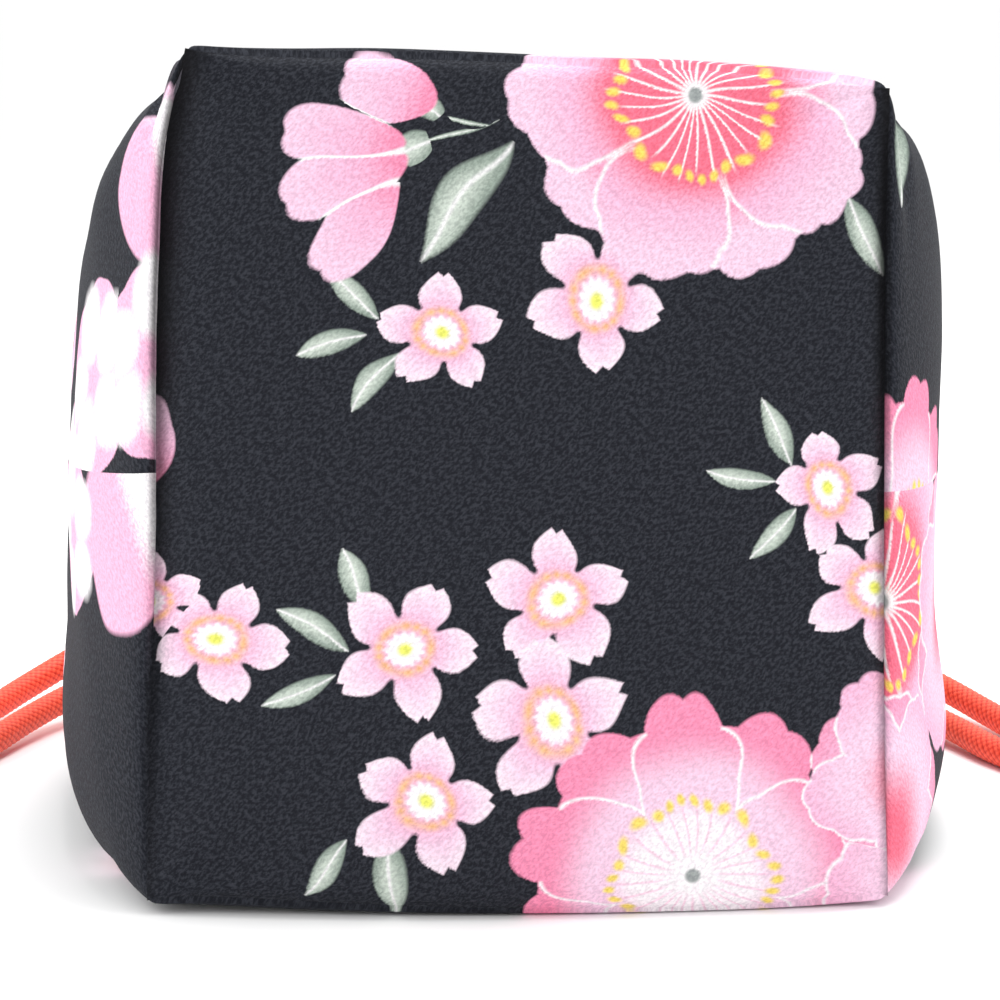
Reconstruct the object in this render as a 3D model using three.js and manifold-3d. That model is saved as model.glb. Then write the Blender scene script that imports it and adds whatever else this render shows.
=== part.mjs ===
// A kinchaku: a drawstring pouch sewn from one oblong of crepe, with boxed corners that make a
// flat base. It lies on its side: the base faces -Y, the drawn neck and its frill point to +Y,
// and the cloth rests on z = 0. Millimetres, +Z up, origin under the middle of the cloth.
// Two cords run through the casing, one tied off on each side, as on a pouch that is drawn
// by pulling both knots apart.

import * as THREE from "three";
import Module from "manifold-3d";
import { mergeVertices } from "three/addons/utils/BufferGeometryUtils.js";

// ---- driving dimensions ------------------------------------------------------------------

const baseWidth = 92; // between the two short corner seams
const gusset = 108; // the boxed depth, upright here because the pouch lies on its side
const baseLean = Math.tan(THREE.MathUtils.degToRad(9)); // the base leans back by this slope
const clothWall = 1.6; // outer crepe and its turned-in layer
const neckHole = 12; // radius left open inside the drawn neck
const cordDiameter = 4;
const channelGap = 0.75; // room between a cord and the casing round it
const knotGap = 0.3;
const cordCircle = 16.8; // radius on which the drawn casing carries the cords
const casingFrom = 40;
const casingTo = 57.5;
const leftCordY = 45.5; // the two cords lie side by side in the casing
const rightCordY = 52;
const casingCentre = 31.5; // height of the drawn neck's middle
const slotSize = [9, 13.5, 16]; // the casing's opening at each side seam
const slotReach = 21;
const knotRadii = [10, 10, 6];
const strandSteps = 78;
const channelSteps = 60;
const pointsNearNeck = 4;
const floorBoxiness = 2.4; // the underside is pressed squarer than the top by this much
const pleats = 18;
const pleatDepth = 0.05;
const topSteps = 16; // facets across the top or bottom of a ring of cloth
const sideSteps = 20;

// One row for each ring of cloth, from the base to the frill's edge: place along the pouch,
// half width, half height, height of the middle, squareness (2 is an oval, higher is boxier)
// and how thick the gathered cloth is.
const ringRows = [
  [-69.5, baseWidth / 2, gusset / 2, 54, 80, clothWall],
  [-62, 51.8, 53.8, 53.8, 14, clothWall],
  [-54, 55.8, 53.5, 53.5, 9.5, clothWall],
  [-44, 59, 53, 53, 7, clothWall],
  [-31, 61.6, 52.5, 52.5, 5.6, clothWall],
  [-15, 63.4, 51.5, 51.5, 4.8, clothWall],
  [0, 63, 49.8, 49.8, 4, clothWall],
  [12, 59, 46.5, 46.5, 3.2, clothWall],
  [22, 50.5, 40, 42, 2.6, 2],
  [30, 39, 31.5, 38, 2.2, 3],
  [36, 28, 25.5, 34.5, 2, 5.5],
  [casingFrom, 22.5, 22, 32.5, 2, 22 - neckHole],
  [46, 21.6, 21.2, 31.8, 2, 21.2 - neckHole],
  [52, 21.6, 21.2, 31.2, 2, 21.2 - neckHole],
  [casingTo, 22.5, 21.8, 30.6, 2, 21.8 - neckHole],
  [63, 26, 24, 30, 2, 5],
  [69, 29.5, 27, 29.6, 2, 2.4],
  [78, 34, 30.5, 30, 2, clothWall],
];

// ---- the cords' routes -------------------------------------------------------------------

// Each strand runs from its knot on the surface to the casing.
const leftUpperStrand = [
  [-132, 29.5, 5],
  [-131, 16, 2.6],
  [-128.5, 4, 2.1],
  [-122, -7, 2.1],
  [-111, -13, 2.1],
  [-99, -11, 2.1],
  [-89.5, -1, 2.1],
  [-84, 12, 2.5],
  [-79.5, 25, 3.2],
  [-74.5, 36.5, 4.6],
  [-68, 45.5, 7],
  [-59, 50, 10.8],
  [-48, 49.8, 16.2],
  [-37, 48.2, 23.2],
  [-27, 46.4, 30.5],
  [-19.5, 45.5, 36.5],
];
const leftLowerStrand = [
  [-138, 29, 5],
  [-138, 11, 2.6],
  [-134, -3.5, 2.1],
  [-124, -15.5, 2.1],
  [-109, -21, 2.1],
  [-94.5, -19, 2.1],
  [-84, -9.5, 2.1],
  [-78, 3, 2.4],
  [-73.5, 15.5, 3.2],
  [-68.5, 26, 4.2],
  [-62, 34, 5.8],
  [-53, 40.5, 9],
  [-43, 44, 14],
  [-33, 45.6, 20.2],
  [-25, 45.9, 24.6],
  [-18.5, 45.5, 24.8],
];
const rightUpperStrand = [
  [129, 27, 5],
  [128, 12, 2.6],
  [125.5, -1, 2.1],
  [119.5, -12, 2.1],
  [109, -18.5, 2.1],
  [97, -17, 2.1],
  [87.5, -8, 2.1],
  [82.2, 4, 2.3],
  [78.2, 16, 3],
  [73.8, 27, 4.2],
  [67.5, 37, 6.2],
  [59, 44.5, 9.8],
  [49, 48.8, 15.2],
  [38, 51.5, 22.2],
  [28, 52.2, 29.8],
  [20.5, 52, 36],
];
const rightLowerStrand = [
  [135, 26.5, 5],
  [135, 6, 2.6],
  [131, -9, 2.1],
  [121.5, -20.5, 2.1],
  [107, -26.5, 2.1],
  [92.5, -25, 2.1],
  [81.5, -16.5, 2.1],
  [75.5, -5.5, 2.2],
  [71.5, 6, 2.7],
  [67, 17.5, 3.4],
  [61, 28.5, 4.8],
  [53, 37.8, 7.8],
  [43, 44.8, 12.8],
  [33, 49.4, 19.2],
  [25, 51.9, 24.2],
  [18.5, 52, 24.8],
];

// ---- finishes ----------------------------------------------------------------------------

const crepe = new THREE.MeshStandardMaterial({ color: 0x26272e, roughness: 0.9, metalness: 0 });
const braid = new THREE.MeshStandardMaterial({ color: 0xf5522f, roughness: 0.7, metalness: 0 });

// ---- helpers -----------------------------------------------------------------------------

const wasm = await Module();
wasm.setup();

function toSolid(geometry) {
  const bare = geometry.clone();
  bare.deleteAttribute("normal");
  bare.deleteAttribute("uv");
  const merged = mergeVertices(bare, 1e-4);
  const vertProperties = new Float32Array(merged.attributes.position.array);
  const triVerts = new Uint32Array(merged.index.array);
  return new wasm.Manifold(new wasm.Mesh({ numProp: 3, vertProperties, triVerts }));
}

function toGeometry(solid) {
  const mesh = solid.getMesh();
  const geometry = new THREE.BufferGeometry();
  geometry.setAttribute("position", new THREE.BufferAttribute(mesh.vertProperties, 3));
  geometry.setIndex(new THREE.BufferAttribute(mesh.triVerts, 1));
  geometry.computeVertexNormals();
  return geometry;
}

function namedMesh(name, geometry, material) {
  const mesh = new THREE.Mesh(geometry, material);
  mesh.name = name;
  return mesh;
}

function roundSection(radius, sides) {
  const section = new THREE.Shape();
  for (let i = 0; i < sides; i += 1) {
    const angle = (2 * Math.PI * i) / sides;
    const x = radius * Math.cos(angle);
    const y = radius * Math.sin(angle);
    if (i === 0) section.moveTo(x, y);
    else section.lineTo(x, y);
  }
  section.closePath();
  return section;
}

function tubeAlong(points, radius, steps, sides = 8) {
  const corners = points.map((point) => new THREE.Vector3(...point));
  const path = new THREE.CatmullRomCurve3(corners, false, "centripetal");
  const options = { steps, extrudePath: path, bevelEnabled: false };
  return new THREE.ExtrudeGeometry(roundSection(radius, sides), options);
}

// ---- cloth -------------------------------------------------------------------------------

// Corner to corner round the boxed oblong, from the top left, as seen from the mouth's side.
function oblongPoints() {
  const points = [];
  const sides = [
    [-1, 1, 1, 1, topSteps],
    [1, 1, 1, -1, sideSteps],
    [1, -1, -1, -1, topSteps],
    [-1, -1, -1, 1, sideSteps],
  ];
  for (const [fromX, fromZ, toX, toZ, steps] of sides) {
    for (let i = 0; i < steps; i += 1) {
      const share = i / steps;
      points.push([fromX + (toX - fromX) * share, fromZ + (toZ - fromZ) * share]);
    }
  }
  return points;
}

function ringPoints(row, inside) {
  const [y, halfWidth, halfHeight, centre, squareness, wall] = row;
  const offset = inside ? wall : 0;
  const floor = inside ? Math.min(wall, 2) : 0;
  const gather = THREE.MathUtils.smoothstep(y, 20, casingTo) * pleatDepth;
  const lean = baseLean * (1 - THREE.MathUtils.smoothstep(y, -69, -20));
  const endOffset = inside && y === ringRows[0][0] ? clothWall : 0;
  const outline = oblongPoints();
  return outline.map(([x, z], i) => {
    const boxiness = z < 0 ? 2 + (squareness - 2) * floorBoxiness : squareness;
    const power = Math.abs(x) ** boxiness + Math.abs(z) ** boxiness;
    const pleat = 1 + gather * Math.cos((2 * Math.PI * pleats * i) / outline.length);
    const share = pleat * power ** (-1 / boxiness);
    const height = Math.max(centre + z * share * (halfHeight - offset), floor);
    const along = y + endOffset + lean * (height - centre);
    return [x * share * (halfWidth - offset), along, height];
  });
}

// A closed skin: base, outside, the frill's edge, inside, and the inside of the base.
function clothGeometry() {
  const rings = ringRows.map((row) => ringPoints(row, false));
  const insideRings = ringRows.map((row) => ringPoints(row, true)).reverse();
  rings.push(...insideRings);
  const count = rings[0].length;
  const vertices = rings.flat(2);
  const index = [];
  for (let ring = 0; ring < rings.length - 1; ring += 1) {
    for (let i = 0; i < count; i += 1) {
      const a = ring * count + i;
      const b = ring * count + ((i + 1) % count);
      index.push(a, b, b + count, a, b + count, a + count);
    }
  }
  const last = (rings.length - 1) * count;
  const firstHub = rings.length * count;
  vertices.push(...ringHub(rings[0]), ...ringHub(rings.at(-1)));
  for (let i = 0; i < count; i += 1) {
    const next = (i + 1) % count;
    index.push(firstHub, next, i);
    index.push(firstHub + 1, last + i, last + next);
  }
  const geometry = new THREE.BufferGeometry();
  geometry.setAttribute("position", new THREE.Float32BufferAttribute(vertices, 3));
  geometry.setIndex(index);
  return geometry;
}

function ringHub(ring) {
  const sum = ring.reduce((total, point) => total.map((value, k) => value + point[k]), [0, 0, 0]);
  return sum.map((value) => value / ring.length);
}

// The casing carries both cords and is open at the two side seams.
function pouchShell(cords) {
  let shell = toSolid(clothGeometry());
  for (const cord of cords) {
    const near = casingRoute(cord, pointsNearNeck);
    const channel = tubeAlong(near, cordDiameter / 2 + channelGap, channelSteps, 10);
    shell = shell.subtract(toSolid(channel));
  }
  for (const side of [-1, 1]) {
    const slot = new THREE.BoxGeometry(...slotSize);
    slot.translate(side * slotReach, (leftCordY + rightCordY) / 2, casingCentre);
    shell = shell.subtract(toSolid(slot));
  }
  return toGeometry(shell);
}

// ---- cords and knots ---------------------------------------------------------------------

const cords = [
  {
    name: "left",
    side: -1,
    y: leftCordY,
    upper: leftUpperStrand,
    lower: leftLowerStrand,
    knot: [-135, 38.5, 6.1],
    tails: [
      [[-133, 44, 5.5], [-129.5, 51, 2.6], [-128.5, 59, 2.1], [-131, 67, 2.1]],
      [[-137, 44, 5.5], [-140, 51, 2.6], [-142.5, 58, 2.1], [-143, 66, 2.1]],
    ],
  },
  {
    name: "right",
    side: 1,
    y: rightCordY,
    upper: rightUpperStrand,
    lower: rightLowerStrand,
    knot: [132, 36, 6.1],
    tails: [
      [[130, 41.5, 5.5], [126.5, 48.5, 2.6], [126, 56.5, 2.1], [129, 64.5, 2.1]],
      [[134, 41.5, 5.5], [137.5, 48, 2.6], [140.5, 55, 2.1], [141, 63, 2.1]],
    ],
  },
];

// A cord enters the casing at its own side, goes once round the neck and comes out again.
function casingRoute(cord, kept) {
  const points = cord.upper.slice(-kept);
  for (let turn = 140; turn >= -130; turn -= 15) {
    const angle = THREE.MathUtils.degToRad(turn);
    const across = -cord.side * cordCircle * Math.cos(angle);
    points.push([across, cord.y, casingCentre + cordCircle * Math.sin(angle)]);
  }
  points.push(...cord.lower.slice(-kept).reverse());
  return points;
}

// Both strands run a little way into the knot, which is left hollow for them.
function cordGeometry(cord) {
  return tubeAlong(casingRoute(cord, cord.upper.length), cordDiameter / 2, strandSteps);
}

function knotGeometry(cord) {
  const lump = new THREE.SphereGeometry(1, 16, 10);
  lump.scale(...knotRadii);
  lump.translate(...cord.knot);
  let knot = toSolid(lump);
  for (const tail of cord.tails) {
    knot = knot.add(toSolid(tubeAlong(tail, cordDiameter / 2, 8)));
  }
  for (const strand of [cord.upper, cord.lower]) {
    const end = new THREE.Vector3(...strand[0]);
    const inward = end.clone().sub(new THREE.Vector3(...strand[1])).setLength(knotGap);
    const reach = end.clone().add(inward).toArray();
    const socket = tubeAlong([strand[2], strand[1], reach], cordDiameter / 2 + knotGap, 10);
    knot = knot.subtract(toSolid(socket));
  }
  return toGeometry(knot);
}

// ---- the pouch ---------------------------------------------------------------------------

const pouch = new THREE.Group();
pouch.add(namedMesh("pouch_shell", pouchShell(cords), crepe));
for (const cord of cords) {
  pouch.add(namedMesh(`${cord.name}_cord`, cordGeometry(cord), braid));
  pouch.add(namedMesh(`${cord.name}_knot`, knotGeometry(cord), braid));
}

export default pouch;
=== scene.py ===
import math

import bpy
import numpy as np
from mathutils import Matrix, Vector


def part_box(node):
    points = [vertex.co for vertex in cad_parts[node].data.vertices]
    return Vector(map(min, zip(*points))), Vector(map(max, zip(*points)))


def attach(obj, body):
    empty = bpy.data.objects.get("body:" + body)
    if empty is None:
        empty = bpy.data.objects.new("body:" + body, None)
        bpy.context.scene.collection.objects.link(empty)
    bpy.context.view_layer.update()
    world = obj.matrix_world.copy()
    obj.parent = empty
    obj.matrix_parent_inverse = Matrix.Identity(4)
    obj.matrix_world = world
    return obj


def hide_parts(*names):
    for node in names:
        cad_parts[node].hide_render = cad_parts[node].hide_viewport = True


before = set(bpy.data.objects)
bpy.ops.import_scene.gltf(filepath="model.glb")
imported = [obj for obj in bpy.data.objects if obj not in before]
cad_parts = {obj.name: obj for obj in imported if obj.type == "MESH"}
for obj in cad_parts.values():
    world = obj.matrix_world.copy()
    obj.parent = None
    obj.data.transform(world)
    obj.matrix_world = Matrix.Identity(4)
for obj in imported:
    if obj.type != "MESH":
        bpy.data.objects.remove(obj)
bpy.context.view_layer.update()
scene = bpy.context.scene
mm = 0.001
shellLow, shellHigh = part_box("pouch_shell")
print("frame loaded")


def inMetres(points):
    return [tuple(value * mm for value in point) for point in points]


def runAlong(line):
    # how far along the line each of its points lies
    return np.concatenate([[0], np.cumsum(np.linalg.norm(np.diff(line, axis=0), axis=1))])


def lineLength(line):
    return float(runAlong(line)[-1])


def smoothPath(points, step, between=24):
    # a centripetal curve, drawn with so many spots between two points and then evenly spaced
    first, last = 2 * np.array(points[0]) - points[1], 2 * np.array(points[-1]) - points[-2]
    ends = [first, *map(np.array, points), last]
    line = []
    for p0, p1, p2, p3 in zip(ends, ends[1:], ends[2:], ends[3:]):
        t1 = np.linalg.norm(p1 - p0) ** 0.5
        t2 = t1 + np.linalg.norm(p2 - p1) ** 0.5
        t3 = t2 + np.linalg.norm(p3 - p2) ** 0.5
        for t in np.linspace(t1, t2, between, endpoint=False):
            a = p0 + (p1 - p0) * t / t1
            b = p1 + (p2 - p1) * (t - t1) / (t2 - t1)
            c = p2 + (p3 - p2) * (t - t2) / (t3 - t2)
            d = a + (b - a) * t / t2
            e = b + (c - b) * (t - t1) / (t3 - t1)
            line.append(d + (e - d) * (t - t1) / (t2 - t1))
    line.append(ends[-2])
    line = np.array(line)
    run = runAlong(line)
    even = np.linspace(0, run[-1], max(2, round(run[-1] / step) + 1))
    return np.stack([np.interp(even, run, line[:, k]) for k in range(3)], axis=1)


def smoothTable(rows, at):
    # each column of the table as a smooth curve over its first column
    rows = np.array(rows, float)
    x, values = rows[:, 0], rows[:, 1:]
    slope = np.gradient(values, x, axis=0)
    at = np.clip(at, x[0], x[-1])
    i = np.clip(np.searchsorted(x, at, side="right") - 1, 0, len(x) - 2)
    width = x[i + 1] - x[i]
    t = ((at - x[i]) / width)[:, None]
    width = width[:, None]
    return (
        (1 + 2 * t) * (1 - t) ** 2 * values[i]
        + t * (1 - t) ** 2 * width * slope[i]
        + t * t * (3 - 2 * t) * values[i + 1]
        + t * t * (t - 1) * width * slope[i + 1]
    )


def smoothStep(low, high, x):
    t = np.clip((x - low) / (high - low), 0, 1)
    return t * t * (3 - 2 * t)


def bell(x, width):
    return np.exp(-((x / width) ** 2))


def softFloor(heights, low, soft):
    # heights that never fall under low, and turn level softly just above it
    return low + soft * np.logaddexp(0, (heights - low) / soft)


def meshObject(name, points, faces, material=None):
    mesh = bpy.data.meshes.new(name)
    mesh.from_pydata([tuple(p) for p in points], [], faces)
    mesh.update()
    mesh.shade_smooth()
    piece = bpy.data.objects.new(name, mesh)
    scene.collection.objects.link(piece)
    if material:
        mesh.materials.append(material)
    return piece


cameraView = {
    "distance": 0.394,
    "elevation": 9.0,
    "side": -2.3,
    "lens": 111.17,
    "target": (0.0, -0.069, 0.054),
    "targetX": 0.516,  # where the target shows, as a share of the picture's width and height
    "targetY": 0.482,
}


def addCamera(view):
    camera = bpy.data.objects.new("viewCamera", bpy.data.cameras.new("viewCamera"))
    scene.collection.objects.link(camera)
    up, side = math.radians(view["elevation"]), math.radians(view["side"])
    outward = Vector((math.sin(side) * math.cos(up), -math.cos(side) * math.cos(up), math.sin(up)))
    camera.location = Vector(view["target"]) + outward * view["distance"]
    camera.rotation_euler = (-outward).to_track_quat("-Z", "Y").to_euler()
    camera.data.lens = view["lens"]
    camera.data.sensor_width = 36
    camera.data.shift_x = 0.5 - view["targetX"]
    camera.data.shift_y = view["targetY"] - 0.5
    camera.data.clip_start = 0.01
    scene.camera = camera


cord = {
    "diameter": 0.004,
    "carriers": 11,  # braid strands that run each way round the cord
    "lay": 0.0165,  # how far a carrier runs for one turn round the cord
    "relief": 0.0003,
    "step": 0.00032,
    "sides": 44,
    "dive": 0.42,  # how far a carrier dips at a crossing, as a share of its height
    "level": 0.62,  # the braid's mean height, which lies on the cord's round
    "circle": 0.0168,  # radius on which the drawn casing carries the cords
    "casingHeight": 0.0315,
    "leftY": 0.0455,
    "rightY": 0.052,
}

leftUpper = [
    (-132, 29.5, 5), (-131, 16, 2.6), (-128.5, 4, 2.1), (-122, -7, 2.1), (-111, -13, 2.1),
    (-99, -11, 2.1), (-89.5, -1, 2.1), (-84, 12, 2.5), (-79.5, 25, 3.2), (-74.5, 36.5, 4.6),
    (-68, 45.5, 7), (-59, 50, 10.8), (-48, 49.8, 16.2), (-37, 48.2, 23.2), (-27, 46.4, 30.5),
    (-19.5, 45.5, 36.5),
]
leftLower = [
    (-138, 29, 5), (-138, 11, 2.6), (-134, -3.5, 2.1), (-124, -15.5, 2.1), (-109, -21, 2.1),
    (-94.5, -19, 2.1), (-84, -9.5, 2.1), (-78, 3, 2.4), (-73.5, 15.5, 3.2), (-68.5, 26, 4.2),
    (-62, 34, 5.8), (-53, 40.5, 9), (-43, 44, 14), (-33, 45.6, 20.2), (-25, 45.9, 24.6),
    (-18.5, 45.5, 24.8),
]
rightUpper = [
    (129, 27, 5), (128, 12, 2.6), (125.5, -1, 2.1), (119.5, -12, 2.1), (109, -18.5, 2.1), (97, -17, 2.1),
    (87.5, -8, 2.1), (82.2, 4, 2.3), (78.2, 16, 3), (73.8, 27, 4.2), (67.5, 37, 6.2), (59, 44.5, 9.8),
    (49, 48.8, 15.2), (38, 51.5, 22.2), (28, 52.2, 29.8), (20.5, 52, 36),
]
rightLower = [
    (135, 26.5, 5), (135, 6, 2.6), (131, -9, 2.1), (121.5, -20.5, 2.1), (107, -26.5, 2.1),
    (92.5, -25, 2.1), (81.5, -16.5, 2.1), (75.5, -5.5, 2.2), (71.5, 6, 2.7), (67, 17.5, 3.4),
    (61, 28.5, 4.8), (53, 37.8, 7.8), (43, 44.8, 12.8), (33, 49.4, 19.2), (25, 51.9, 24.2),
    (18.5, 52, 24.8),
]


def casingRing(side, y):
    # round the drawn casing, from one strand's way in to the other strand's way out, by degrees
    points = []
    for turn in range(140, -131, -15):
        angle = math.radians(turn)
        x = -side * cord["circle"] * math.cos(angle)
        points.append((x, y, cord["casingHeight"] + cord["circle"] * math.sin(angle)))
    return points


def splitRoute(upper, lower, side, y):
    # the whole route, and the two places where it comes out of the casing
    points = inMetres(upper) + casingRing(side, y) + inMetres(reversed(lower))
    line = smoothPath(points, cord["step"])
    firstOut = int(np.argmin(np.linalg.norm(line - np.array(upper[-1]) * mm, axis=1)))
    secondOut = int(np.argmin(np.linalg.norm(line - np.array(lower[-1]) * mm, axis=1)))
    return line[: firstOut + 1], line[firstOut : secondOut + 1], line[secondOut:][::-1]


class Graph:
    # adds nodes to a tree: settings are set first, then sockets get values or links
    def __init__(self, tree):
        self.tree = tree

    def node(self, kind, settings=None, **sockets):
        made = self.tree.nodes.new(kind)
        for key, value in (settings or {}).items():
            setattr(made, key, value)
        for key, value in sockets.items():
            # at6 is the socket with number 6, for nodes whose sockets share a name
            place = int(key[2:]) if key[:2] == "at" and key[2:].isdigit() else key.replace("_", " ")
            self.put(made.inputs[place], value)
        return made

    def put(self, socket, value):
        if isinstance(value, Value):
            value = value.socket
        if isinstance(value, bpy.types.NodeSocket):
            self.tree.links.new(value, socket)
        else:
            socket.default_value = value

    def math(self, operation, *values, clamp=False):
        made = self.node("ShaderNodeMath", {"operation": operation, "use_clamp": clamp})
        for socket, value in zip(made.inputs, values):
            self.put(socket, value)
        return Value(self, made.outputs[0])

    def value(self, socket):
        return Value(self, socket)

    def vector(self, operation, *values, out=0):
        made = self.node("ShaderNodeVectorMath", {"operation": operation})
        for socket, value in zip(made.inputs, values):
            self.put(socket, value)
        return made.outputs[out]

    def scaled(self, vector, factor):
        made = self.node("ShaderNodeVectorMath", {"operation": "SCALE"}, Vector=vector, Scale=factor)
        return made.outputs[0]

    def attribute(self, name):
        return Value(self, self.node("ShaderNodeAttribute", {"attribute_name": name}).outputs["Fac"])

    def axes(self, vector):
        made = self.node("ShaderNodeSeparateXYZ", Vector=vector)
        return [Value(self, socket) for socket in made.outputs]

    def mixColour(self, share, first, second, how="MIX"):
        settings = {"data_type": "RGBA", "blend_type": how}
        return self.node("ShaderNodeMix", settings, at0=share, at6=first, at7=second).outputs[2]

    def mixVector(self, share, first, second):
        made = self.node("ShaderNodeMix", {"data_type": "VECTOR"}, at0=share, at4=first, at5=second)
        return made.outputs[1]

    def eased(self, value, low, high):
        made = self.node("ShaderNodeMapRange", {"interpolation_type": "SMOOTHSTEP"},
                         Value=value, From_Min=low, From_Max=high)
        return Value(self, made.outputs[0])


class Value:
    # a number socket that takes part in Python expressions
    def __init__(self, graph, socket):
        self.graph, self.socket = graph, socket

    def __add__(self, other):
        return self.graph.math("ADD", self, other)

    def __radd__(self, other):
        return self.graph.math("ADD", other, self)

    def __sub__(self, other):
        return self.graph.math("SUBTRACT", self, other)

    def __rsub__(self, other):
        return self.graph.math("SUBTRACT", other, self)

    def __mul__(self, other):
        return self.graph.math("MULTIPLY", self, other)

    def __rmul__(self, other):
        return self.graph.math("MULTIPLY", other, self)

    def __truediv__(self, other):
        return self.graph.math("DIVIDE", self, other)

    def __rtruediv__(self, other):
        return self.graph.math("DIVIDE", other, self)

    def __pow__(self, other):
        return self.graph.math("POWER", self, other)

    def __neg__(self):
        return self.graph.math("MULTIPLY", self, -1.0)

    def __abs__(self):
        return self.graph.math("ABSOLUTE", self)

    def atLeast(self, other):
        return self.graph.math("MAXIMUM", self, other)

    def atMost(self, other):
        return self.graph.math("MINIMUM", self, other)

    def clamped(self):
        return self.graph.math("ADD", self, 0.0, clamp=True)


def startTree(name, inputs):
    # a tree with geometry in and out, named inputs for its sizes, and its material
    tree = bpy.data.node_groups.new(name, "GeometryNodeTree")
    tree.interface.new_socket("Geometry", in_out="INPUT", socket_type="NodeSocketGeometry")
    for label, kind, value in inputs:
        tree.interface.new_socket(label, in_out="INPUT", socket_type=kind).default_value = value
    tree.interface.new_socket("Material", in_out="INPUT", socket_type="NodeSocketMaterial")
    tree.interface.new_socket("Geometry", in_out="OUTPUT", socket_type="NodeSocketGeometry")
    g = Graph(tree)
    return tree, g, g.node("NodeGroupInput").outputs


def endTree(g, given, geometry):
    smooth = g.node("GeometryNodeSetShadeSmooth", Geometry=geometry)
    real = g.node("GeometryNodeRealizeInstances", Geometry=smooth.outputs["Geometry"])
    finish = g.node("GeometryNodeSetMaterial", Geometry=real.outputs["Geometry"], Material=given["Material"])
    g.node("NodeGroupOutput", Geometry=finish.outputs["Geometry"])


def captured(g, label, geometry, value):
    # keeps a value of a curve's points, to be read on the mesh that is made from it
    made = g.node("GeometryNodeCaptureAttribute", {"domain": "POINT"})
    made.capture_items.new("FLOAT", label)
    g.put(made.inputs["Geometry"], geometry)
    g.put(made.inputs[label], value)
    return made.outputs["Geometry"], g.value(made.outputs[label])


def braidTree():
    tree, g, given = startTree("braidedCord", [
        ("Radius", "NodeSocketFloat", cord["diameter"] / 2),
        ("Sides", "NodeSocketInt", cord["sides"]),
        ("Carriers", "NodeSocketFloat", float(cord["carriers"])),
        ("Lay", "NodeSocketFloat", cord["lay"]),
        ("Relief", "NodeSocketFloat", cord["relief"]),
    ])
    parameter = g.node("GeometryNodeSplineParameter")
    line, along = captured(g, "Along", given["Geometry"], parameter.outputs["Length"])
    circle = g.node("GeometryNodeCurvePrimitiveCircle", {"mode": "RADIUS"},
                    Resolution=given["Sides"], Radius=given["Radius"])
    profile, around = captured(g, "Around", circle.outputs["Curve"], parameter.outputs["Factor"])
    tube = g.node("GeometryNodeCurveToMesh", Curve=line, Profile_Curve=profile, Fill_Caps=True)
    turn = around * given["Carriers"]
    climb = along / given["Lay"] * given["Carriers"]
    right, left = turn + climb, turn - climb
    over = g.math("FLOORED_MODULO", g.math("FLOOR", right) + g.math("FLOOR", left), 2.0) * 2.0 - 1.0
    heights = []
    for family, other, lies in ((right, left, over), (left, right, -over)):
        # a carrier is round across, and rises over and dives under at each crossing
        across = g.math("FRACT", family) * 2.0 - 1.0
        crossing = g.math("SINE", g.math("FRACT", other) * math.pi)
        rise = 1 - cord["dive"] + cord["dive"] * lies * crossing
        heights.append(g.math("SQRT", (1.0 - across * across).atLeast(0.0)) * rise)
    height = heights[0].atLeast(heights[1])
    lift = (height - cord["level"]) * given["Relief"]
    push = g.scaled(g.node("GeometryNodeInputNormal").outputs["Normal"], lift)
    moved = g.node("GeometryNodeSetPosition", Geometry=tube.outputs["Mesh"], Offset=push)
    stored = g.node("GeometryNodeStoreNamedAttribute", {"data_type": "FLOAT", "domain": "POINT"},
                    Geometry=moved.outputs["Geometry"], Name="braid", Value=height)
    endTree(g, given, stored.outputs["Geometry"])
    return tree


def applyTree(name, source, tree, values):
    modifier = source.modifiers.new("nodes", "NODES")
    modifier.node_group = tree
    named = {item.name: item.identifier for item in tree.interface.items_tree if item.in_out == "INPUT"}
    for key, value in values.items():
        modifier[named[key]] = value
    source.update_tag()
    bpy.context.view_layer.update()
    graph = bpy.context.evaluated_depsgraph_get()
    mesh = bpy.data.meshes.new_from_object(source.evaluated_get(graph), depsgraph=graph)
    mesh.name = name
    bpy.data.objects.remove(source)
    piece = bpy.data.objects.new(name, mesh)
    scene.collection.objects.link(piece)
    return piece


def curveObject(name, lines):
    curve = bpy.data.curves.new(name, "CURVE")
    curve.dimensions = "3D"
    for line in lines:
        spline = curve.splines.new("POLY")
        spline.points.add(len(line) - 1)
        spline.points.foreach_set("co", np.column_stack([line, np.ones(len(line))]).ravel())
    made = bpy.data.objects.new(name, curve)
    scene.collection.objects.link(made)
    return made


def braidedTube(name, lines, material, tree, **values):
    source = curveObject(name + "Line", lines)
    return applyTree(name, source, tree, {"Material": material, **values})


cloth = {
    "topColumns": 72,  # across the top or the bottom of a ring
    "sideColumns": 84,
    "topGather": 0.55,  # how far columns gather towards the corners, 0 for even
    "sideGather": 0.35,
    "middleGather": 0.5,  # the same towards the side seam
    "lean": math.radians(9.0),  # the base leans back
    "baseY": -69.5,
    "baseHeight": round((shellLow[2] + shellHigh[2]) / 2 / mm, 2),  # the base's middle
    "halfWidth": 46.0,
    "halfDepth": round((shellHigh[2] - shellLow[2]) / 2 / mm, 2),
    "thickness": 0.9,
    "hemThickness": 1.5,
    "neckHole": 12.0,
    "seamGap": 0.3,  # more than the cloth's thickness between the base and its inner face
    "shrink": 0.024,  # how much smaller the inner face of the base is
    "lip": 0.35,  # roundness of the hem
    "floorGap": 0.08,
    "floorSoftness": 0.4,
    "rippleStart": 7.0,
    "leanReach": 52.0,  # how far along the cloth the base's lean is felt, and its crooked outline
    "skewReach": 52.0,
}

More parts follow.
